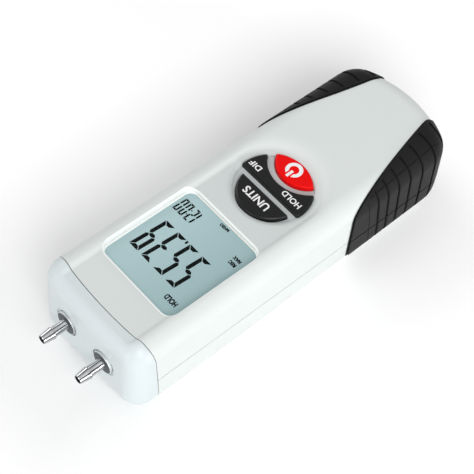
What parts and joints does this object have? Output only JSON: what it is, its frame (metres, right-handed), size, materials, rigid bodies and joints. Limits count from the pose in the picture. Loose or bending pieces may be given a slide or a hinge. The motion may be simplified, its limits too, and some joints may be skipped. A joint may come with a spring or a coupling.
{
  "type": "digital manometer",
  "caption": "Hand-held digital manometer with two barbed hose ports, a display, a round keypad and ribbed side grips.",
  "frame": {"origin": "under the middle of the whole part, on the flat face of the rear cover", "axes": "+X across the case, +Y along it towards the hose ports, +Z out of the display"},
  "size_m": [0.0724, 0.2266, 0.0508],
  "materials": {
    "case": "fine matt, pale grey",
    "cap": "fine matt, pale blue grey",
    "grip": "matt black soft grip",
    "pane": "clear gloss",
    "frame": "white",
    "lcd": "grey green display glass",
    "black_rubber": "matt",
    "dark_key": "matt dark grey",
    "red_key": "matt red",
    "silicone": "grey silicone",
    "board": "green solder mask",
    "gold": "gilt",
    "chip": "matt black",
    "sensor": "ivory",
    "tube": "translucent silicone",
    "barb": "turned, nickel bright",
    "steel": "zinc plated",
    "battery": "blue jacket, plain"
  },
  "bodies": {
    "case": {"front_cover": "case", "rear_cover": "case", "end_cap": "cap", "left_front_grip": "grip", "right_front_grip": "grip", "left_rear_grip": "grip", "right_rear_grip": "grip", "display_pane": "pane", "display_frame": "frame", "lcd_glass": "lcd", "backlight": "frame", "lcd_connectors": "black_rubber", "keypad_mat": "silicone", "key_domes": "silicone", "main_board": "board", "contact_pads": "gold", "board_chips": "chip", "sensor_board": "board", "board_header": "chip", "pressure_sensor": "sensor", "sensor_tubes": "tube", "left_barb": "barb", "right_barb": "barb", "barb_nuts": "steel", "barb_seals": "black_rubber", "battery": "battery", "battery_terminals": "steel", "battery_contacts": "gold", "cover_screws": "steel", "cap_screws": "steel", "board_screws": "steel"},
    "units_key": {"units_key": "dark_key"},
    "rocker_key": {"rocker_key": "dark_key"},
    "power_key": {"power_key": "red_key"},
    "battery_door": {"battery_door": "case"}
  },
  "joints": [
    {"name": "units_press", "type": "slide", "parent": "case", "child": "units_key", "axis": [0, 0, -1], "range_m": [0, 0.0009], "stiffness_N_per_m": 1500, "deforming": ["key_domes"]},
    {"name": "rocker_tilt", "type": "hinge", "parent": "case", "child": "rocker_key", "pos_m": [0, -0.016, 0.04427], "axis": [0, 1, 0], "range_deg": [-2.5, 2.5], "stiffness_Nm_per_rad": 0.4, "deforming": ["key_domes"]},
    {"name": "power_press", "type": "slide", "parent": "case", "child": "power_key", "axis": [0, 0, -1], "range_m": [0, 0.0009], "stiffness_N_per_m": 1500, "deforming": ["key_domes"]},
    {"name": "door_slide", "type": "slide", "parent": "case", "child": "battery_door", "axis": [0, -1, 0], "range_m": [0, 0.055]}
  ]
}
